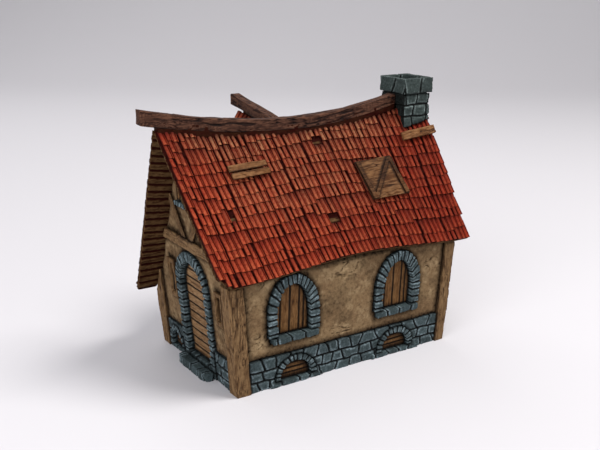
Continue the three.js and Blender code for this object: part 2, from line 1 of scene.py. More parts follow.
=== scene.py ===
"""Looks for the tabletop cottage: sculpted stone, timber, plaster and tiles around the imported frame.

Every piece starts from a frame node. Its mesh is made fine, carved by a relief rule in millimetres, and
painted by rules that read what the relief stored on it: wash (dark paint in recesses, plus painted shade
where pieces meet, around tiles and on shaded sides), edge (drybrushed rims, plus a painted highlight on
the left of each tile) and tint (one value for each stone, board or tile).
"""

import json
import math

import bmesh
import bpy
import numpy as np
from mathutils import Matrix, Vector
from mathutils.bvhtree import BVHTree


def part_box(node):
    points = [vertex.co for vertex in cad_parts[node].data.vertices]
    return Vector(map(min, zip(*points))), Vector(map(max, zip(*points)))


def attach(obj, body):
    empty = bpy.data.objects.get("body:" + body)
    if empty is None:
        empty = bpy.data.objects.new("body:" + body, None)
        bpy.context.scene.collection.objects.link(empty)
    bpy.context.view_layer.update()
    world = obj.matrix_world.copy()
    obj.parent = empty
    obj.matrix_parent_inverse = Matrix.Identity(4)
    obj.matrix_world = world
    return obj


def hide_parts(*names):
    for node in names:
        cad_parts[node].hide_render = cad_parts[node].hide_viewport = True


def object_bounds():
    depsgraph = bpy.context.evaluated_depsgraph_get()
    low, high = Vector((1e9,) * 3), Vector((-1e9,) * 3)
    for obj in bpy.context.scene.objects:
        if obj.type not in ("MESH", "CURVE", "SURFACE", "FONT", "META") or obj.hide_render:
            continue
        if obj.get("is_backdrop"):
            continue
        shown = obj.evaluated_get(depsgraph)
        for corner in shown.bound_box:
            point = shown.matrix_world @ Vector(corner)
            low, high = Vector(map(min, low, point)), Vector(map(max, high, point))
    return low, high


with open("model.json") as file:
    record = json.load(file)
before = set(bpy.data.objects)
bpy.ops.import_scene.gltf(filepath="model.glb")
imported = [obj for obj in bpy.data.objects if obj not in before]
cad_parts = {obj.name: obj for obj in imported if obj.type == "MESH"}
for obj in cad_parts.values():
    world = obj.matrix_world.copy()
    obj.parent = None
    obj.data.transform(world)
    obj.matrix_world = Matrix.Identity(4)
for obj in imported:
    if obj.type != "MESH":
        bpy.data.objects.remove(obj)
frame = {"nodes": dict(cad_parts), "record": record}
NODES = frame["nodes"]
CAD_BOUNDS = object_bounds()
BODY_OF = {node: body for body, nodes in frame["record"]["behaviour"]["bodies"].items() for node in nodes}
SLOT_OF = {part["node"]: part["material_slot"] for part in frame["record"]["subparts"]}
MM = 0.001


def box_mm(node):
    low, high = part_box(node)
    return np.array(low) / MM, np.array(high) / MM


# ---------------------------------------------------------------- noise

def lattice(cell, seed):
    """A repeatable random value from -1 to 1 for each whole-number cell."""
    mixed = cell.astype(np.int64) * np.array([374761393, 668265263, 2147483647])
    value = mixed.sum(axis=-1) + seed * 1274126177
    value = (value ^ (value >> 13)) * 1103515245
    value = (value ^ (value >> 16)) & 0xFFFFFF
    return value / float(0x7FFFFF) - 1.0


def noise(points, seed=0):
    """Smooth noise from -1 to 1, one cycle a unit."""
    cell = np.floor(points)
    part = points - cell
    part = part * part * (3 - 2 * part)
    total = np.zeros(len(points))
    for corner in np.ndindex(2, 2, 2):
        corner = np.array(corner)
        weight = np.prod(np.where(corner == 1, part, 1 - part), axis=1)
        total += weight * lattice(cell + corner, seed)
    return total


def fractal(points, seed=0, octaves=3):
    total = np.zeros(len(points))
    for octave in range(octaves):
        total += noise(points * 2.0**octave, seed + octave) / 2.0**octave
    return total


def smooth(low, high, value):
    t = np.clip((value - low) / (high - low), 0, 1)
    return t * t * (3 - 2 * t)


# ---------------------------------------------------------------- materials

def srgb(text):
    """A colour from its hexadecimal screen value."""
    channels = [int(text[i:i + 2], 16) / 255 for i in (0, 2, 4)]
    return tuple(c / 12.92 if c <= 0.04045 else ((c + 0.055) / 1.055) ** 2.4 for c in channels) + (1.0,)


class Paint:
    """A node material under construction."""

    def __init__(self, name, roughness=0.7, specular=0.35):
        self.material = bpy.data.materials.new(name)
        self.material.use_nodes = True
        self.tree = self.material.node_tree
        self.shader = self.tree.nodes["Principled BSDF"]
        self.shader.inputs["Roughness"].default_value = roughness
        self.shader.inputs["Specular IOR Level"].default_value = specular
        self.coordinates = self.tree.nodes.new("ShaderNodeTexCoord").outputs["Object"]

    def link(self, source, target):
        if hasattr(source, "is_linked"):
            self.tree.links.new(source, target)
        else:
            target.default_value = source

    def noise(self, scale, detail=4.0, stretch=(1, 1, 1), rough=0.6):
        """Noise with scale cycles a millimetre, stretched along the axes."""
        mapping = self.tree.nodes.new("ShaderNodeMapping")
        mapping.inputs["Scale"].default_value = [s / MM for s in stretch]
        self.link(self.coordinates, mapping.inputs["Vector"])
        node = self.tree.nodes.new("ShaderNodeTexNoise")
        node.inputs["Scale"].default_value = scale
        node.inputs["Detail"].default_value = detail
        node.inputs["Roughness"].default_value = rough
        self.link(mapping.outputs["Vector"], node.inputs["Vector"])
        return node.outputs["Fac"]

    def stored(self, name):
        node = self.tree.nodes.new("ShaderNodeAttribute")
        node.attribute_name = name
        return node.outputs["Fac"]

    def math(self, operation, a, b=0.0, clamp=False):
        node = self.tree.nodes.new("ShaderNodeMath")
        node.operation = operation
        node.use_clamp = clamp
        self.link(a, node.inputs[0])
        self.link(b, node.inputs[1])
        return node.outputs[0]

    def between(self, value, low, high):
        """0 below low, 1 above high."""
        node = self.tree.nodes.new("ShaderNodeMapRange")
        node.interpolation_type = "SMOOTHSTEP"
        self.link(value, node.inputs["Value"])
        node.inputs["From Min"].default_value = low
        node.inputs["From Max"].default_value = high
        return node.outputs["Result"]

    def mix(self, amount, a, b, blend="MIX"):
        node = self.tree.nodes.new("ShaderNodeMix")
        node.data_type = "RGBA"
        node.blend_type = blend
        self.link(amount, node.inputs["Factor"])
        self.link(a, node.inputs["A"])
        self.link(b, node.inputs["B"])
        return node.outputs["Result"]

    def bump(self, height, distance, strength=0.6):
        node = self.tree.nodes.new("ShaderNodeBump")
        node.inputs["Distance"].default_value = distance * MM
        node.inputs["Strength"].default_value = strength
        self.link(height, node.inputs["Height"])
        self.link(node.outputs["Normal"], self.shader.inputs["Normal"])

    def colour(self, colour):
        self.link(colour, self.shader.inputs["Base Color"])
        return self.material


def painted(
    name,
    shadow,
    base,
    second,
    light,
    grain=(1, 1, 1),
    grain_scale=0.9,
    roughness=0.75,
    drybrush=0.9,
    specular=0.15,
):
    """Miniature paint: two base tones, the dark colour where wash is stored (recess paint and painted
    shade), pale drybrushing where edge is.
    """
    paint = Paint(name, roughness, specular)
    fine = paint.noise(grain_scale, 6.0, grain, 0.7)
    broad = paint.noise(grain_scale * 0.16, 3.0)
    tone = paint.math("ADD", paint.stored("tint"), paint.between(broad, 0.3, 0.7))
    tone = paint.math("MULTIPLY", tone, 0.5)
    colour = paint.mix(tone, srgb(base), srgb(second))
    speckle = paint.between(fine, 0.52, 0.72)
    edge = paint.math("MULTIPLY", paint.stored("edge"), paint.between(fine, 0.25, 0.6))
    flecks = paint.math("MULTIPLY", speckle, 0.28)
    brushed = paint.math("ADD", flecks, paint.math("MULTIPLY", edge, drybrush), True)
    colour = paint.mix(brushed, colour, srgb(light))
    blot = paint.math("MULTIPLY", paint.between(fine, 0.55, 0.3), 0.45)
    wash = paint.math("ADD", paint.stored("wash"), blot, True)
    colour = paint.mix(wash, colour, srgb(shadow))
    paint.bump(fine, 0.12)
    return paint.colour(colour)


STONE = painted("stone_paint", "050707", "293334", "404d50", "7d8d93", (1, 1, 1), 1.0)
CHIMNEY_STONE = painted("chimney_paint", "050706", "252d2c", "3a4442", "73807e", (1, 1, 1), 1.0)
PLASTER = painted("plaster_paint", "1c1106", "69523a", "816a4d", "ad9673", (1, 1, 1), 0.55, 0.85, 0.6, 0.1)
POST = painted("post_paint", "120903", "4b341f", "63492e", "876b4a", (2.2, 2.2, 0.22), 1.0)
RIDGE = painted("ridge_paint", "060201", "1d0b05", "2c150d", "694736", (0.25, 2.2, 2.2), 1.0)
JOINERY = painted("joinery_paint", "120903", "50331a", "644322", "84633f", (1.6, 1.6, 0.25), 1.0)
DOOR = painted("door_paint", "120903", "67482c", "7d5c3c", "a08462", (0.25, 0.25, 1.6), 1.0)
FLAT_JOINERY = painted("flat_joinery_paint", "120703", "4c2a14", "65401f", "8a6442", (0.25, 1.8, 1.8), 1.0)
HATCH = painted("hatch_paint", "100602", "40230f", "5a3718", "805d3d", (0.25, 1.8, 1.8), 1.0)
ROOF_BOARD = painted(
    "roof_board_paint", "240502", "2b1a0d", "3d2815", "60482e", (0.3, 1.5, 1.5), 0.9, 0.8, 0.9, 0.05
)
INSIDE = painted("inside_paint", "120d09", "2c221a", "3a2e23", "4d4033", (0.3, 1.5, 1.5), 0.9)


def tile_paint():
    paint = Paint("tile_paint", 0.65, 0.08)
    fine = paint.noise(1.3, 6.0, (1.6, 0.7, 0.7), 0.7)
    tone = paint.math("ADD", paint.stored("tint"), paint.between(fine, 0.3, 0.7))
    tone = paint.math("MULTIPLY", tone, 0.5)
    colour = paint.mix(tone, srgb("5a0c04"), srgb("821c0a"))
    glow = paint.math("MULTIPLY", paint.stored("glow"), paint.between(fine, 0.2, 0.7))
    colour = paint.mix(glow, colour, srgb("a83c22"))
    pale = paint.math("MULTIPLY", paint.stored("pale"), paint.between(fine, 0.3, 0.62))
    colour = paint.mix(pale, colour, srgb("8d6748"))
    # Pale rims: drybrushing, with the painted highlight on each tile's left side.
    edge = paint.math("MULTIPLY", paint.stored("edge"), paint.between(fine, 0.35, 0.65))
    colour = paint.mix(paint.math("MULTIPLY", edge, 0.62), colour, srgb("b36a42"))
    # Dark colour: paint in the joints, with painted shade at the tiles' upper ends and under their lower
    # ends.
    colour = paint.mix(paint.stored("wash"), colour, srgb("1c0301"))
    paint.bump(fine, 0.1)
    return paint.colour(colour)


TILE = tile_paint()


# ---------------------------------------------------------------- sculpting

def new_object(name, mesh, material, body, slot):
    obj = bpy.data.objects.new(name, mesh)
    bpy.context.scene.collection.objects.link(obj)
    mesh.materials.clear()
    mesh.materials.append(material)
    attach(obj, body)
    return obj


def store(mesh, **values):
    for name, value in values.items():
        attribute = mesh.attributes.new(name, "FLOAT", "POINT")
        attribute.data.foreach_set("value", np.clip(value, 0, 1).astype(np.float32))


def cleaned(mesh, press=None):
    """A welded copy of a node's mesh. press picks faces and sinks them by a depth in mm."""
    work = bmesh.new()
    work.from_mesh(mesh)
    bmesh.ops.remove_doubles(work, verts=work.verts, dist=0.00002)
    bmesh.ops.recalc_face_normals(work, faces=work.faces)
    if press:
        picks, depth = press
        moves = {}
        for face in work.faces:
            if picks(face.normal):
                for vert in face.verts:
                    moves[vert] = face.normal.copy()
        for vert, normal in moves.items():
            vert.co -= normal * depth * MM
    copy = bpy.data.meshes.new("work")
    work.to_mesh(copy)
    work.free()
    return copy


def remeshed(mesh, voxel, keep=1.0):
    """The mesh as a fine even skin. keep under 1 thins it again."""
    obj = bpy.data.objects.new("remesh_work", mesh)
    bpy.context.scene.collection.objects.link(obj)
    remesh = obj.modifiers.new("remesh", "REMESH")
    remesh.mode = "VOXEL"
    remesh.voxel_size = voxel * MM
    if keep < 1:
        thin = obj.modifiers.new("thin", "DECIMATE")
        thin.ratio = keep
    graph = bpy.context.evaluated_depsgraph_get()
    fine = bpy.data.meshes.new_from_object(obj.evaluated_get(graph))
    bpy.data.objects.remove(obj)
    bpy.data.meshes.remove(mesh)
    return fine


def thinned(mesh, ratio):
    obj = bpy.data.objects.new("thin_work", mesh)
    bpy.context.scene.collection.objects.link(obj)
    obj.modifiers.new("thin", "DECIMATE").ratio = ratio
    graph = bpy.context.evaluated_depsgraph_get()
    fine = bpy.data.meshes.new_from_object(obj.evaluated_get(graph))
    bpy.data.objects.remove(obj)
    bpy.data.meshes.remove(mesh)
    return fine


TREES = {}
# Pieces further apart than this don't darken each other.
NEIGHBOUR_GAP = 2


def tree_of(node):
    if node not in TREES:
        mesh = NODES[node].data
        corners = [v.co.copy() for v in mesh.vertices]
        TREES[node] = BVHTree.FromPolygons(corners, [tuple(p.vertices) for p in mesh.polygons])
    return TREES[node]


def near_shade(points, node, reach):
    """Painted shade where a piece meets its neighbours: 1 at a neighbour, 0 beyond reach mm."""
    low = points.min(axis=0) - NEIGHBOUR_GAP
    high = points.max(axis=0) + NEIGHBOUR_GAP
    close = np.full(len(points), np.inf)
    for other in NODES:
        if other == node:
            continue
        other_low, other_high = box_mm(other)
        if np.any(other_low > high) or np.any(other_high < low):
            continue
        tree = tree_of(other)
        inside = np.all((points > other_low - reach) & (points < other_high + reach), axis=1)
        for i in np.nonzero(inside)[0]:
            hit = tree.find_nearest(Vector(points[i] * MM), reach * MM)
            if hit[0] is not None:
                close[i] = min(close[i], hit[3] / MM)
    return 1 - smooth(0.3, reach, close)


def corner_arrays(mesh):
    """A mesh's corners in mm and their normals."""
    count = len(mesh.vertices)
    points = np.empty(count * 3)
    normals = np.empty(count * 3)
    mesh.vertices.foreach_get("co", points)
    mesh.vertex_normals.foreach_get("vector", normals)
    return points.reshape(-1, 3) / MM, normals.reshape(-1, 3)


def set_corners(mesh, points):
    """Moves a mesh's corners, and keeps them inside the frame's own box."""
    low, high = np.array(CAD_BOUNDS[0]) / MM, np.array(CAD_BOUNDS[1]) / MM
    mesh.vertices.foreach_set("co", (np.clip(points, low, high) * MM).ravel())
    mesh.update()


def stored_values(mesh, name):
    values = np.empty(len(mesh.vertices))
    mesh.attributes[name].data.foreach_get("value", values)
    return values


def sculpt(node, relief, material, voxel=0.35, keep=0.5, near=1.6, near_strength=0.75):
    """Replaces a frame node by its carved version.

    voxel is the fineness of its skin in mm, and keep is the share of the skin's faces that stay.
    near is how far in mm the painted shade around neighbouring pieces reaches.
    """
    mesh = remeshed(cleaned(NODES[node].data), voxel)
    points, normals = corner_arrays(mesh)
    height, wash, edge, tint = relief(points, normals)
    set_corners(mesh, points + normals * height[:, None])
    store(mesh, wash=wash, edge=edge, tint=tint)
    if keep < 1:
        mesh = thinned(mesh, keep)
    points, _ = corner_arrays(mesh)
    # Painted shade near neighbouring pieces joins the stored dark paint.
    wash = np.maximum(stored_values(mesh, "wash"), near_strength * near_shade(points, node, near))
    edge = stored_values(mesh, "edge") * (1 - wash)
    mesh.attributes["wash"].data.foreach_set("value", wash)
    mesh.attributes["edge"].data.foreach_set("value", edge)
    mesh.polygons.foreach_set("use_smooth", [True] * len(mesh.polygons))
    obj = new_object(node + "_carved", mesh, material, BODY_OF[node], SLOT_OF[node])
    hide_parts(node)
    return obj


# ---------------------------------------------------------------- relief rules, all in millimetres

# Each side's outward direction, and the direction to the right as seen from outside.
SIDES = {
    "front": (np.array([0, -1, 0]), np.array([1, 0, 0])),
    "rear": (np.array([0, 1, 0]), np.array([-1, 0, 0])),
    "door": (np.array([-1, 0, 0]), np.array([0, -1, 0])),
    "chimney": (np.array([1, 0, 0]), np.array([0, 1, 0])),
}


def hewn(points, seed):
    """The rough face of cut stone."""
    return 0.22 * fractal(points * 0.35, seed) + 0.07 * fractal(points * 1.3, seed + 9)


def groove(distance, depth, width=0.75):
    """A rounded joint: how far it sinks, how much wash it takes, and its brushed rim."""
    sink = -depth * (1 - smooth(0.0, width, distance))
    wash = 1 - smooth(0.2, 0.75, distance)
    rim = smooth(0.4, 0.7, distance) * (1 - smooth(0.85, 1.6, distance))
    return sink, wash, rim


def broken(points, seed):
    """A patchy factor from 0.15 to 1, so that brushed rims come and go."""
    return 0.15 + 0.85 * smooth(-0.35, 0.45, noise(points * 0.45, seed + 33))


def cell_tint(cells, seed):
    stacked = np.stack([cells, cells * 0 + 7, cells * 0 + 3], axis=1)
    return lattice(stacked, seed) * 0.5 + 0.5


def laid(across, up, rows, sizes, seed):
    """Blocks in courses. Gives the distance to the nearest joint and a number for each block."""
    rng = np.random.default_rng(seed)
    low, high = across.min() - 9, across.max() + 9
    row = np.clip(np.searchsorted(rows, up) - 1, 0, len(rows) - 2)
    distance = np.minimum(up - np.array(rows)[row], np.array(rows)[row + 1] - up)
    cells = row * 1000
    for r in range(len(rows) - 1):
        joints = [low - rng.uniform(0, sizes[1])]
        while joints[-1] < high:
            joints.append(joints[-1] + rng.uniform(*sizes))
        joints = np.array(joints)
        here = row == r
        middle = (rows[r] + rows[r + 1]) / 2
        leaning = rng.uniform(-0.45, 0.45, len(joints))
        at = np.clip(np.searchsorted(joints, across[here]) - 1, 0, len(joints) - 2)
        above = up[here] - middle
        to_left = across[here] - joints[at] - leaning[at] * above
        to_right = joints[at + 1] + leaning[at + 1] * above - across[here]
        at = np.where(to_left < 0, at - 1, np.where(to_right < 0, at + 1, at))
        beside = np.minimum(np.abs(to_left), np.abs(to_right))
        distance[here] = np.minimum(distance[here], beside)
        cells[here] += at
    return np.maximum(distance, 0), cells


def masonry(side, rows, sizes, seed, depth=0.75, shade_left=0.0):
    def relief(points, normals):
        outward, right = SIDES[side]
        wobble = 0.45 * noise(points * 0.3, seed)
        on_end = np.abs(normals @ right) > 0.7
        across = np.where(on_end, points @ outward + 3.7, points @ right) + wobble
        up = points[:, 2] + 0.5 * noise(points * 0.22, seed + 5)
        distance, cells = laid(across, up, rows, sizes, seed)
        sink, wash, rim = groove(distance, depth)
        tint = cell_tint(cells, seed)
        proud = 0.18 * (cell_tint(cells, seed + 1) - 0.5)
        # Faces that point left get painted shade, as dark as this amount.
        if shade_left:
            wash = np.maximum(wash, shade_left * smooth(-0.5, -0.8, normals @ right))
        return sink + proud + hewn(points, seed), wash, rim * broken(points, seed), tint
    return relief


def ring(node, side, spring, pitch, seed, depth=0.7):
    """Wedge stones around an arch: two legs up to spring, then radial joints."""
    _, right = SIDES[side]
    low, high = box_mm(node)
    corners = np.array([low @ right, high @ right])
    centre, half = corners.mean(), abs(np.diff(corners)[0]) / 2
    rise = high[2] - spring
    radius = (half + rise) / 2

    def relief(points, normals):
        across = points @ right - centre
        up = points[:, 2] - spring
        angle = np.arctan2(np.maximum(up, 0) / rise, across / half)
        along = np.where(up < 0, np.where(across > 0, up, math.pi * radius - up), angle * radius)
        along = along + 0.35 * noise(points * 0.25, seed)
        rng = np.random.default_rng(seed)
        joints = [along.min() - rng.uniform(0.5, pitch)]
        while joints[-1] < along.max():
            joints.append(joints[-1] + pitch * rng.uniform(0.8, 1.22))
        joints = np.array(joints)
        at = np.clip(np.searchsorted(joints, along) - 1, 0, len(joints) - 2)
        distance = np.minimum(along - joints[at], joints[at + 1] - along)
        sink, wash, rim = groove(np.maximum(distance, 0), depth)
        tint = cell_tint(at, seed)
        proud = 0.3 * (cell_tint(at, seed + 1) - 0.5)
        return sink + proud + hewn(points, seed), wash, rim * broken(points, seed), tint
    return relief


def grain(direction, seed, depth=0.35, follow=None):
    """Split timber: long wavy grooves along a direction. follow takes a bend out of the points first."""
    direction = np.array(direction, float)
    direction = direction / np.linalg.norm(direction)

    def relief(points, normals):
        flat = follow(points) if follow else points
        along = (flat @ direction)[:, None] * direction
        across = flat - along
        warp = 0.5 * fractal(flat * 0.12, seed, 2)[:, None]
        place = across * 0.75 + along * 0.045 + warp
        ridges = np.abs(noise(place * 1.3, seed)) * 0.65 + np.abs(noise(place * 2.9, seed + 3)) * 0.35
        cut = 1 - smooth(0.0, 0.16, ridges)
        bulge = 0.25 * fractal(flat * 0.1, seed + 7, 2)
        wash = 0.85 * cut
        rim = smooth(0.16, 0.3, ridges) * (1 - smooth(0.42, 0.6, ridges))
        tint = smooth(-0.6, 0.6, fractal(place * 0.6, seed + 11, 2))
        return bulge - depth * cut, wash, 0.8 * rim, tint
    return relief


def boards(side, joints, upright, seed, depth=0.5):
    """Planks with grain, parted at the given places: across the side if upright, otherwise up it."""
    _, right = SIDES[side]
    joints = np.array(joints, float)
    lengthwise = grain((0, 0, 1) if upright else tuple(right), seed, 0.16)

    def relief(points, normals):
        where = points @ right if upright else points[:, 2]
        where = where + 0.08 * noise(points * 0.3, seed)
        sink, wash, rim, tint = lengthwise(points, normals)
        distance = np.abs(where[:, None] - joints[None, :]).min(axis=1)
        gap, dark, lip = groove(distance, depth, 0.5)
        board = np.searchsorted(joints, where)
        tint = 0.5 * tint + 0.5 * cell_tint(board, seed)
        return sink * 0.6 + gap, np.maximum(wash * 0.6, dark), np.maximum(rim * 0.6, lip * 0.6), tint
    return relief


def rendered_wall(seed, scars):
    """Trowelled plaster with broad lumps and a few scored patches, each (x, y, z, reach)."""
    def relief(points, normals):
        lumps = 0.3 * fractal(points * 0.09, seed, 3)
        skin = 0.06 * fractal(points * 0.9, seed + 4, 2)
        warp = points + 1.6 * np.stack([fractal(points * 0.16, seed + k, 2) for k in (20, 30, 40)], axis=1)
        lines = np.abs(noise(warp * np.array([0.16, 0.16, 0.55]), seed + 50))
        scored = 1 - smooth(0.0, 0.11, lines)
        amount = np.zeros(len(points))
        for x, y, z, reach in scars:
            away = np.linalg.norm((points - np.array([x, y, z])) * np.array([1, 1, 1.5]), axis=1)
            amount = np.maximum(amount, 1 - smooth(reach * 0.5, reach, away))
        amount = np.maximum(amount, 0.22 * smooth(0.35, 0.7, fractal(points * 0.05, seed + 60, 2)))
        cut = scored * amount
        patchy = smooth(-0.5, 0.7, fractal(points * 0.06, seed + 70, 3))
        edge = 0.5 * smooth(0.1, 0.6, fractal(points * 0.3, seed + 80, 2))
        edge = edge + 0.4 * amount * smooth(0.07, 0.2, lines)
        grime = 0.35 * smooth(0.0, 0.8, fractal(points * 0.12, seed + 90, 2))
        wash = np.maximum(0.95 * cut, grime)
        return lumps + skin - 0.5 * cut, wash, edge, patchy
    return relief


# ---------------------------------------------------------------- walls and stonework

def in_box(node, across, along, up):
    """A point in a node's box, by fractions of its sides, in mm."""
    low, high = box_mm(node)
    return tuple(low + (high - low) * np.array([across, along, up]))


front_scars = [
    in_box("wall_front", 0.50, 0, 0.78) + (11,),
    in_box("wall_front", 0.93, 0, 0.62) + (6,),
    in_box("wall_front", 0.12, 0, 0.18) + (10,),
    in_box("wall_front", 0.13, 0, 0.80) + (9,),
    in_box("wall_front", 0.47, 0, 0.10) + (8,),
]
gable_scars = [
    in_box("wall_door_gable", 0, 0.75, 0.16) + (7,),
    in_box("wall_door_gable", 0, 0.18, 0.35) + (6,),
]
chimney_gable_scars = [in_box("wall_chimney_gable", 1, 0.4, 0.3) + (12,)]
rear_scars = [in_box("wall_rear", 0.75, 1, 0.2) + (12,)]
for node, seed, scars in (
    ("wall_front", 3, front_scars),
    ("wall_door_gable", 5, gable_scars),
    ("wall_chimney_gable", 7, chimney_gable_scars),
    ("wall_rear", 9, rear_scars),
):
    sculpt(node, rendered_wall(seed, scars), PLASTER, 0.42, 0.4, 3.6, 0.85)

COURSES = [-1.0, 4.6, 9.6, 16.0]
BLOCKS = (5.5, 9.5)
for node, side, seed in (
    ("plinth_front", "front", 11),
    ("plinth_rear", "rear", 12),
    ("plinth_chimney_gable", "chimney", 13),
    ("plinth_gable_left_of_door", "door", 14),
    ("plinth_gable_right_of_door", "door", 15),
):
    sculpt(node, masonry(side, COURSES, BLOCKS, seed), STONE, 0.3, 0.5)

for node, side in (
    ("window_front_left", "front"),
    ("window_front_right", "front"),
    ("window_rear", "rear"),
):
    seed = sum(map(ord, node)) % 97
    low, high = box_mm(node + "_surround")
    surround = ring(node + "_surround", side, low[2] + 9.5, 3.3, seed)
    sculpt(node + "_surround", surround, STONE, 0.26, 0.5, 1.2)
    sill = masonry(side, [low[2] - 9, low[2] + 9], (7.0, 8.4), seed + 1)
    sculpt(node + "_sill", sill, STONE, 0.26, 0.5, 1.0)
    low, high = box_mm(node + "_shutters")
    ends = sorted([low @ SIDES[side][1], high @ SIDES[side][1]])
    leaf = np.linspace(ends[0], ends[1], 8)
    planks = boards(side, [leaf[1], leaf[3], leaf[5], leaf[6]], True, seed + 2)
    sculpt(node + "_shutters", planks, JOINERY, 0.3, 0.5, 1.8, 0.9)

for node, side in (
    ("cellar_window_front_left", "front"),
    ("cellar_window_front_right", "front"),
    ("cellar_window_gable", "door"),
):
    seed = sum(map(ord, node)) % 89
    sculpt(node + "_arch", ring(node + "_arch", side, 3.5, 2.9, seed), STONE, 0.26, 0.5, 1.0)
    planks = boards(side, [4.6, 6.9, 9.2], False, seed + 1)
    sculpt(node + "_boards", planks, JOINERY, 0.3, 0.6, 4.0, 0.9)

sculpt("door_surround", ring("door_surround", "door", 40.0, 3.6, 31), STONE, 0.28, 0.5, 1.2)
sculpt("door_leaf", boards("door", np.arange(9, 54, 4.4), False, 33), DOOR, 0.3, 0.5, 2.4, 0.9)
sculpt("door_threshold", masonry("door", [-9, 9], (6.0, 8.0), 34), STONE, 0.3, 0.6)
sculpt("door_step", masonry("door", [-9, 9], (6.5, 9.0), 35), STONE, 0.3, 0.6)
sculpt("slit_window_left", grain((0, 0, 1), 36, 0.25), POST, 0.28, 0.6)
sculpt("slit_window_right", grain((0, 0, 1), 37, 0.25), POST, 0.28, 0.6)


# How far a slit window's boards stay inside its frame, in mm, at its low and high corners.
SLIT_LOW_MARGIN = np.array([2.4, 1.5, 2.4])
SLIT_HIGH_MARGIN = np.array([1.2, 1.5, 1.8])


def infill(node):
    """Boards that close a slit window's opening, painted nearly black as the shade inside it."""
    low, high = box_mm(node)
    low = low + SLIT_LOW_MARGIN
    high = high - SLIT_HIGH_MARGIN
    work = bmesh.new()
    bmesh.ops.create_cube(work, size=1.0)
    for vert in work.verts:
        vert.co = Vector(((low + high) / 2 + np.array(vert.co) * (high - low)) * MM)
    mesh = bpy.data.meshes.new(node + "_infill")
    work.to_mesh(mesh)
    work.free()
    mesh = remeshed(mesh, 0.3)
    points, normals = corner_arrays(mesh)
    height, wash, edge, tint = boards("door", [(low[1] + high[1]) / -2], True, 45)(points, normals)
    set_corners(mesh, points + normals * height[:, None])
    # Nearly black all over: painted shade inside the slit.
    store(mesh, wash=0.88 + 0.12 * wash, edge=0.15 * edge, tint=tint)
    new_object(node + "_infill", mesh, JOINERY, "house", "joinery")


infill("slit_window_left")
infill("slit_window_right")
sculpt("attic_sill", masonry("door", [60, 99], (3.8, 5.0), 38), STONE, 0.28, 0.6)
shaft_stones = masonry("front", [80, 105.2, 110.9, 116.5, 130], (6.0, 9.0), 39, 0.75, 0.85)
sculpt("chimney_shaft", shaft_stones, CHIMNEY_STONE, 0.3, 0.5)
sculpt("chimney_cap", masonry("front", [100, 140], (8.0, 9.4), 41), CHIMNEY_STONE, 0.28, 0.5)

# ---------------------------------------------------------------- timber

for seed, node in enumerate(("post_front_left", "post_front_right", "post_rear_left", "post_rear_right")):
    sculpt(node, grain((0, 0, 1), 50 + seed, 0.45), POST, 0.28, 0.5)

for gable, side in (("door_gable", "door"), ("chimney_gable", "chimney"), ("rear_gable", "rear")):
    right = SIDES[side][1]
    sculpt(gable + "_tie_beam", grain(tuple(right), 60, 0.3), POST, 0.28, 0.6)
    for hand in ("left", "right"):
        low, high = box_mm(f"{gable}_brace_{hand}")
        size = np.abs((high - low) @ right) * (1 if hand == "right" else -1)
        direction = right * size + np.array([0, 0, high[2] - low[2]])
        sculpt(f"{gable}_brace_{hand}", grain(tuple(direction), 61, 0.3), POST, 0.28, 0.6)

sculpt("attic_window", boards("door", [-0.5, 1.9, -3.0], True, 70), JOINERY, 0.28, 0.6)


def unbend(node, along):
    """Takes the sag out of a beam: its middle height becomes 0 everywhere."""
    corners = np.array([v.co for v in NODES[node].data.vertices]) / MM
    places = np.unique(np.round(corners[:, along], 1))
    middles = [corners[np.abs(corners[:, along] - place) < 0.2][:, 2].mean() for place in places]

    def follow(points):
        flat = points.copy()
        flat[:, 2] -= np.interp(points[:, along], places, middles)
        return flat
    return follow


sculpt("ridge_beam", grain((1, 0, 0), 71, 0.45, unbend("ridge_beam", 0)), RIDGE, 0.28, 0.5)
sculpt("cross_ridge_beam", grain((0, 1, 0), 72, 0.45, unbend("cross_ridge_beam", 1)), RIDGE, 0.28, 0.5)
sculpt("hatch_panel", grain((1, 0, 0), 80, 0.25), HATCH, 0.25, 0.6)
for seed, node in enumerate(("hatch_battens", "patch_board_upper", "patch_board_lower", "chimney_plank")):
    sculpt(node, grain((1, 0, 0), 81 + seed, 0.25), FLAT_JOINERY, 0.25, 0.6)
sculpt("base_floor", boards("front", np.arange(-30, 31, 6.0), False, 90), INSIDE, 0.8, 0.6)


# ---------------------------------------------------------------- roof

TILE_PITCH = 2.93
TILE_ROW = 5.6
TILE_OVERLAP = 3.2
TILE_WIDTH = 2.2
TILE_HEIGHT = 1.25
TILE_SLANT = 0.095
TOP_ROW_SLANT = 0.03
SHORTEST_TILE = 1.2
BOARD_DROP = 1.5
BOARD_PITCH = 3.3
# Millimetres of plan for each millimetre down a slope.
PLAN_SHARE = 0.55
RIDGE_MIDDLE = -3.25
SHADE_FILLER_DROP = 2.8
SHADE_FILLER_THINNING = 0.2
TOP_CLEARANCE = 0.1
# Leaning columns that start beside the ridge are needed too. This many are tried at each end.
SPARE_COLUMNS = 8


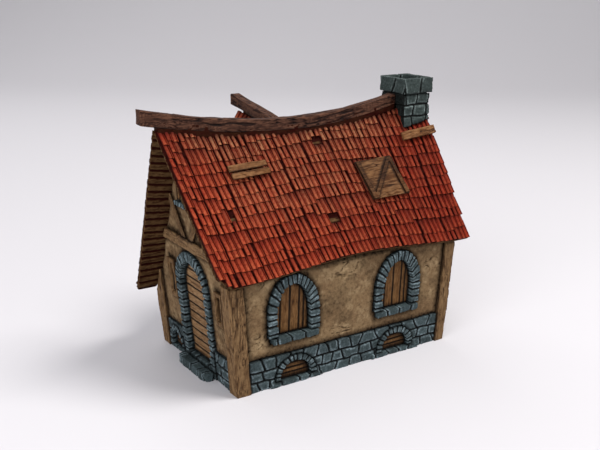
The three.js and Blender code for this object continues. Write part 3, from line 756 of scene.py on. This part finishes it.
class Slope:
    """A roof slab read as lines that run down it, one for each column of tiles."""

    def __init__(self, node, down, along, lean):
        self.node = node
        self.down = np.array(down, float)
        self.along = np.array(along, float)
        self.lean = lean
        self.corners = np.array([v.co for v in NODES[node].data.vertices]) / MM

    def top_at(self, place):
        """The slab's upper face under a place in plan, with its normal, or None beside the slab."""
        height = (self.corners[:, 2].max() + 5) * MM
        origin = Vector((place[0] * MM, place[1] * MM, height))
        spot, normal, _, _ = tree_of(self.node).ray_cast(origin, Vector((0, 0, -1)))
        if spot is None or np.array(normal) @ self.down < 0.3:
            return None
        return np.array(spot) / MM, np.array(normal)

    def columns(self, pitch):
        """For each column: its points and normals, every quarter millimetre of plan down the slope."""
        reach = self.corners @ self.down
        at_ridge = self.corners[reach < reach.min() + 3] @ self.along
        first, last = at_ridge.min(), at_ridge.max()
        count = round((last - first) / pitch)
        for number in range(-SPARE_COLUMNS, count + SPARE_COLUMNS):
            wander = 0.07 * math.sin(number * 2.4) + 0.06 * math.sin(number * 5.1)
            share = (number + 0.5 + wander) / count
            line = []
            for stepped in np.arange(0, reach.max() - reach.min() + 1, 0.25):
                aside = first + (last - first) * share + self.lean(min(max(share, 0), 1)) * stepped
                found = self.top_at(self.down * (reach.min() + stepped) + self.along * aside)
                if found:
                    line.append(found)
            if len(line) > 6:
                yield np.array([p for p, _ in line]), np.array([n for _, n in line])


class Tiling:
    """Corners, faces and painted values of many small tiles, gathered into one mesh."""

    def __init__(self):
        self.points = []
        self.faces = []
        self.paint = {"wash": [], "edge": [], "tint": [], "glow": [], "pale": []}

    def add(self, point, **values):
        self.points.append(point)
        for name, store_in in self.paint.items():
            store_in.append(values[name])
        return len(self.points) - 1

    def strip(self, upper, lower):
        for k in range(len(upper) - 1):
            self.faces.append((upper[k], upper[k + 1], lower[k + 1], lower[k]))

    def mesh(self, name):
        low, high = np.array(CAD_BOUNDS[0]) / MM, np.array(CAD_BOUNDS[1]) / MM
        points = np.clip(np.array(self.points), low, high) * MM
        mesh = bpy.data.meshes.new(name)
        mesh.from_pydata([tuple(p) for p in points], [], self.faces)
        store(mesh, **{name: np.array(values) for name, values in self.paint.items()})
        mesh.polygons.foreach_set("use_smooth", [True] * len(mesh.polygons))
        return mesh


def half_round(tiling, frames, width, height, arcs, shade, glow, pale, dark, rims_with_shade):
    """A half-round tile through frames, each (place, side, up, scale), with its lower end closed."""
    rings = []
    for f, (place, side, up, scale) in enumerate(frames):
        lower_share = f / (len(frames) - 1)
        ring_of = []
        for k in range(arcs + 1):
            angle = math.pi * k / arcs
            crest = math.sin(angle)
            to_right = 0.5 - 0.5 * math.cos(angle)
            aside = -math.cos(angle) * width / 2 * scale
            point = place + side * aside + up * (crest**0.8 * height * scale)
            # Dark paint in the joints at the tile's sides, and painted shadow over the upper end that the
            # row above covers.
            wash = max(1 - smooth(0.3, 0.92, crest), 0.75 * (1 - lower_share) ** 2, dark)
            # The drybrushed crest is brighter on the tile's left side: a painted highlight where the light
            # falls.
            edge = smooth(0.45, 1.0, crest) * smooth(0.1, 1.0, lower_share) * (1 - 0.75 * to_right)
            ring_of.append(tiling.add(
                point,
                wash=wash,
                edge=edge * (1 - dark) * rims_with_shade,
                tint=shade,
                glow=glow * (0.35 + 0.65 * lower_share),
                pale=pale * smooth(0.35, 0.9, crest),
            ))
        rings.append(ring_of)
    for upper, lower in zip(rings, rings[1:]):
        tiling.strip(upper, lower)
    # The face that closes the lower end is painted dark, darkest at its point: the shadow line under the
    # tile's end.
    place, side, up, scale = frames[-1]
    rim = []
    for k in range(arcs + 1):
        point = tiling.points[rings[-1][k]]
        rim.append(tiling.add(point, wash=0.75, edge=0.0, tint=shade, glow=0.0, pale=0.0))
    base = tiling.add(place - up * 0.2, wash=1.0, edge=0.0, tint=shade, glow=0.0, pale=0.0)
    for k in range(arcs):
        tiling.faces.append((rim[k], rim[k + 1], base))


def between(values, travelled, distance):
    return np.array([np.interp(distance, travelled, values[:, k]) for k in range(3)])


def hole_in(spots, travelled, gaps):
    """Where a column crosses missing tiles, as the distances down it of the hole's two ends, or None."""
    for x0, x1, y0, y1 in gaps:
        ends = [np.interp(-y, -spots[:, 1], travelled) for y in (y1, y0)]
        if x0 < between(spots, travelled, sum(ends) / 2)[0] < x1:
            return ends
    return None


def in_gap(place, gaps):
    return any(x0 < place[0] < x1 and y0 < place[1] < y1 for x0, x1, y0, y1 in gaps)


def tiles(slope, seed, glow, pale, brushed, gaps=()):
    """A slope's tiles as one mesh. glow, pale and brushed give a place's orange, tan and rim brushing;
    brushed also carries painted shade.
    """
    rng = np.random.default_rng(seed)
    tiling = Tiling()
    runs = {}
    for spots, normals in slope.columns(TILE_PITCH):
        travelled = np.concatenate([[0], np.cumsum(np.linalg.norm(np.diff(spots, axis=0), axis=1))])
        total = travelled[-1]
        spans = []
        for row in range(int(total / TILE_ROW) + 1):
            run = runs.setdefault(row, {"left": 0, "shift": 0.0})
            if run["left"] <= 0:
                run["left"] = rng.integers(2, 9)
                run["shift"] = rng.uniform(-1.25, 1.25) if row else 0.0
            run["left"] -= 1
            end = total - row * TILE_ROW + run["shift"] + (rng.uniform(-0.22, 0.22) if row else 0)
            end = min(end, total)
            spans.append([max(end - TILE_ROW - TILE_OVERLAP, 0.0), end])
        # The row nearest a hole is left out, and the rows above and below stop at its edges.
        hole = hole_in(spots, travelled, gaps)
        if hole:
            off = [abs(end - 0.5 * TILE_ROW - sum(hole) / 2) for _, end in spans]
            gone = off.index(min(off))
            if gone > 0:
                spans[gone - 1][0] = hole[1]
            if gone + 1 < len(spans):
                spans[gone + 1][1] = hole[0]
            spans[gone][0] = spans[gone][1]
        for start, end in spans:
            if end - start < SHORTEST_TILE:
                continue
            middle = between(spots, travelled, end - 0.5 * TILE_ROW)
            shade = rng.random()
            skew = rng.uniform(-0.13, 0.13)
            raised = rng.uniform(-0.2, 0.0)
            glowing = glow(middle) * rng.uniform(0.5, 1.0)
            dusty = pale(middle) * rng.uniform(0.45, 1.0)
            dark = 0.35 if rng.random() < 0.06 else 0.0
            # The top row has no tile above it, so it lies flatter.
            slant = TILE_SLANT if end > TILE_ROW else TOP_ROW_SLANT
            rims_with_shade = brushed(middle) * rng.uniform(0.7, 1.15)
            frames = []
            for share in (0.0, 0.55, 1.0):
                distance = start + (end - start) * share
                place = between(spots, travelled, distance)
                up = between(normals, travelled, distance)
                up = up / np.linalg.norm(up)
                side = slope.along - up * (slope.along @ up)
                side = side / np.linalg.norm(side)
                sunk = raised - TILE_HEIGHT - TOP_CLEARANCE - slant * (end - distance)
                aside = side * skew * (2 * share - 1)
                frames.append((place + aside + up * sunk, side, up, 0.9 + 0.1 * share))
            width = TILE_WIDTH * rng.uniform(0.9, 1.06)
            half_round(tiling, frames, width, TILE_HEIGHT, 8, shade, glowing, dusty, dark, rims_with_shade)
            if rng.random() < 0.7:
                rim_frames = []
                for place, side, up, scale in frames:
                    rim_frames.append((place + side * 0.5 * TILE_PITCH - up * 0.05, side, up, scale))
                half_round(tiling, rim_frames, 0.7, 0.9, 4, shade, 0.5 * glowing, 0.5 * dusty, 0.3, rims_with_shade)
    obj = new_object(slope.node + "_tiles", tiling.mesh(slope.node + "_tiles"), TILE, "roof", "roof_tile")
    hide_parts(slope.node)


def roof_boards(slope, seed, gaps=()):
    """The boarding under the tiles: the slab with its upper face lowered, and grooves between boards."""
    down = slope.down

    def is_top(normal):
        return np.array(normal) @ down > 0.3 and normal.z > 0.2

    mesh = remeshed(cleaned(NODES[slope.node].data, (is_top, BOARD_DROP)), 0.5)
    points, normals = corner_arrays(mesh)
    reach = points @ down
    travelled = (reach - reach.min()) / PLAN_SHARE + 0.3 * noise(points * 0.1, seed)
    phase = travelled % BOARD_PITCH
    sink, wash, rim = groove(np.minimum(phase, BOARD_PITCH - phase) * 0.9, 0.45, 0.8)
    height, grain_wash, grain_rim, tint = grain(tuple(slope.along), seed, 0.25)(points, normals)
    top = (normals @ down > 0.3) & (normals[:, 2] > 0.1)
    covered = top & ~np.array([in_gap(p, gaps) for p in points])
    # Board tops under the tiles are painted fully dark: painted shade showing in the crevices between
    # tiles.
    wash = np.where(covered, 1.0, np.maximum(wash, grain_wash * 0.7))
    set_corners(mesh, points + normals * (sink + height * 0.5)[:, None])
    store(mesh, wash=wash, edge=np.maximum(rim, grain_rim) * (1 - wash), tint=tint)
    mesh = thinned(mesh, 0.5)
    mesh.polygons.foreach_set("use_smooth", [True] * len(mesh.polygons))
    new_object(slope.node + "_boards", mesh, ROOF_BOARD, "roof", "ridge_timber")


def ridge_shade_filler():
    """A dark filler that closes the gap between the ridge beam and the top rows of tiles: painted shade
    under the beam.
    """
    work = bmesh.new()
    work.from_mesh(NODES["ridge_beam"].data)
    bmesh.ops.remove_doubles(work, verts=work.verts, dist=0.00002)
    level_of = unbend("ridge_beam", 0)
    for vert in work.verts:
        place = np.array(vert.co) / MM
        vert.co.y = (RIDGE_MIDDLE + (place[1] - RIDGE_MIDDLE) * 0.92) * MM
        is_lower = level_of(place[None, :])[0, 2] < 0
        vert.co.z -= (SHADE_FILLER_DROP - SHADE_FILLER_THINNING if is_lower else SHADE_FILLER_DROP + SHADE_FILLER_THINNING) * MM
    left_end = box_mm("roof_front")[0][0] + 1.2
    right_end = box_mm("ridge_beam")[1][0] - 0.3
    for edge, facing in ((left_end, (-1, 0, 0)), (right_end, (1, 0, 0))):
        cut = bmesh.ops.bisect_plane(
            work,
            geom=work.verts[:] + work.edges[:] + work.faces[:],
            plane_co=(edge * MM, 0, 0),
            plane_no=facing,
            clear_outer=True,
        )
        open_edges = [item for item in cut["geom_cut"] if isinstance(item, bmesh.types.BMEdge)]
        bmesh.ops.edgenet_fill(work, edges=open_edges)
    mesh = bpy.data.meshes.new("ridge_shade_filler")
    work.to_mesh(mesh)
    work.free()
    mesh = remeshed(mesh, 0.4, 0.5)
    points, normals = corner_arrays(mesh)
    set_corners(mesh, points + normals * (0.25 * fractal(points * 0.5, 140))[:, None])
    # Nearly dark all over: painted shade under the ridge beam.
    wash = 0.75 + 0.25 * noise(points * 0.4, 141)
    store(mesh, wash=wash, edge=points[:, 0] * 0, tint=points[:, 0] * 0 + 0.3)
    new_object("ridge_shade_filler", mesh, ROOF_BOARD, "roof", "ridge_timber")


def front_glow(place):
    x, y, _ = place
    return 0.9 * smooth(40, -60, x) * smooth(-8, -22, y) + 0.15


def front_pale(place):
    x, y, _ = place
    at_ridge = 0.85 * smooth(-16, -8, y) * smooth(56, 40, x) * smooth(-78, -56, x)
    middle = 0.5 * smooth(-36, -20, y) * smooth(50, 10, x) * smooth(-66, -40, x)
    return max(at_ridge, middle) + 0.1


# Rim brushing fades towards the right of the front slope: painted shade on that side.
def front_rims_shaded_right(place):
    return 1 - 0.5 * smooth(15, 62, place[0])


def plain_glow(place):
    return 0.4


def plain_pale(place):
    return 0.35 * smooth(80, 105, place[2]) + 0.12


def plain_rims(place):
    return 0.85


def level(amount):
    """A lean that fades from amount at the left verge to nothing at the right."""
    return lambda share: amount * (1 - share)


# Where two tiles are missing: lowest and highest x, then lowest and highest y.
MISSING = (
    (-58.0, -53.0, -27.6, -24.9),
    (-3.0, 2.2, -10.6, -7.9),
    (-8.0, -2.6, -31.9, -29.2),
)
FRONT = Slope("roof_front", (0, -1, 0), (1, 0, 0), lambda share: 0.268 - 0.185 * share)
PLAIN_SLOPES = (
    Slope("roof_rear_left", (0, 1, 0), (1, 0, 0), level(0.17)),
    Slope("roof_rear_right", (0, 1, 0), (1, 0, 0), lambda share: -0.02 * share),
    Slope("roof_cross_left", (-1, 0, 0), (0, 1, 0), level(0.0)),
    Slope("roof_cross_right", (1, 0, 0), (0, 1, 0), level(0.0)),
)
tiles(FRONT, 101, front_glow, front_pale, front_rims_shaded_right, MISSING)
roof_boards(FRONT, 110, MISSING)
for seed, slope in enumerate(PLAIN_SLOPES):
    tiles(slope, 102 + seed, plain_glow, plain_pale, plain_rims)
    roof_boards(slope, 111 + seed)
ridge_shade_filler()


# ---------------------------------------------------------------- floor, light and camera

def flat_material(name, colour, roughness):
    paint = Paint(name, roughness, 0.2)
    return paint.colour(srgb(colour))


def backdrop():
    """A paper sweep: flat under the cottage, then curved up behind it as the camera sees it."""
    azimuth = math.radians(VIEW["azimuth"])
    away = np.array([-math.sin(azimuth), math.cos(azimuth)])
    aside = np.array([away[1], -away[0]])
    flat, bend, reach = 0.9, 0.8, 3.0
    profile = [(-2.0, 0.0), (flat, 0.0)]
    for step in range(1, 17):
        turn = 0.5 * math.pi * step / 16
        profile.append((flat + bend * math.sin(turn), bend * (1 - math.cos(turn))))
    profile.append((flat + bend, reach))
    points = []
    faces = []
    for forward, height in profile:
        for side in (-reach, reach):
            x, y = away * forward + aside * side
            points.append((x, y, height))
    for k in range(len(profile) - 1):
        faces.append((2 * k, 2 * k + 1, 2 * k + 3, 2 * k + 2))
    mesh = bpy.data.meshes.new("backdrop")
    mesh.from_pydata(points, [], faces)
    mesh.polygons.foreach_set("use_smooth", [True] * len(mesh.polygons))
    mesh.materials.append(flat_material("backdrop_paper", "cfcdd1", 0.9))
    sweep = bpy.data.objects.new("backdrop", mesh)
    bpy.context.scene.collection.objects.link(sweep)
    sweep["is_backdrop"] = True


def studio():
    for name, place, size, energy, tone in (
        ("key", (0.40, -0.45, 1.1), 0.6, 14.0, (1.0, 0.98, 0.95)),
        ("fill", (-0.85, -0.50, 0.50), 0.9, 8.0, (0.98, 0.98, 1.0)),
        ("back", (0.0, 0.8, 0.9), 0.9, 4.0, (1.0, 1.0, 1.0)),
    ):
        data = bpy.data.lights.new(name, "AREA")
        data.shape = "DISK"
        data.size = size
        data.energy = energy
        data.color = tone
        light = bpy.data.objects.new(name, data)
        bpy.context.scene.collection.objects.link(light)
        light.location = place
        light.rotation_euler = (Vector((0, 0, 0.05)) - Vector(place)).to_track_quat("-Z", "Y").to_euler()
    world = bpy.data.worlds.new("studio")
    bpy.context.scene.world = world
    world.use_nodes = True
    world.node_tree.nodes["Background"].inputs["Color"].default_value = (0.90, 0.90, 0.92, 1)
    world.node_tree.nodes["Background"].inputs["Strength"].default_value = 0.42
    bpy.context.scene.view_settings.view_transform = "Standard"


VIEW = {
    "target": (-0.0030, 0.00046, 0.0608),
    "distance": 0.4249,
    "azimuth": -33.74,
    "elevation": 16.63,
    "roll": 0.56,
    "lens": 52.45,
}


def camera():
    azimuth, elevation = math.radians(VIEW["azimuth"]), math.radians(VIEW["elevation"])
    back = Vector((
        math.sin(azimuth) * math.cos(elevation),
        -math.cos(azimuth) * math.cos(elevation),
        math.sin(elevation),
    ))
    data = bpy.data.cameras.new("camera")
    data.lens = VIEW["lens"]
    data.sensor_width = 36.0
    data.clip_start = 0.01
    obj = bpy.data.objects.new("camera", data)
    bpy.context.scene.collection.objects.link(obj)
    obj.location = Vector(VIEW["target"]) + back * VIEW["distance"]
    turn = (-back).to_track_quat("-Z", "Y").to_matrix().to_4x4()
    obj.rotation_euler = (turn @ Matrix.Rotation(math.radians(VIEW["roll"]), 4, "Z")).to_euler()
    bpy.context.scene.camera = obj


backdrop()
studio()
camera()
plain = [[list(map(float, corner)) for corner in bounds] for bounds in (CAD_BOUNDS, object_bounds())]
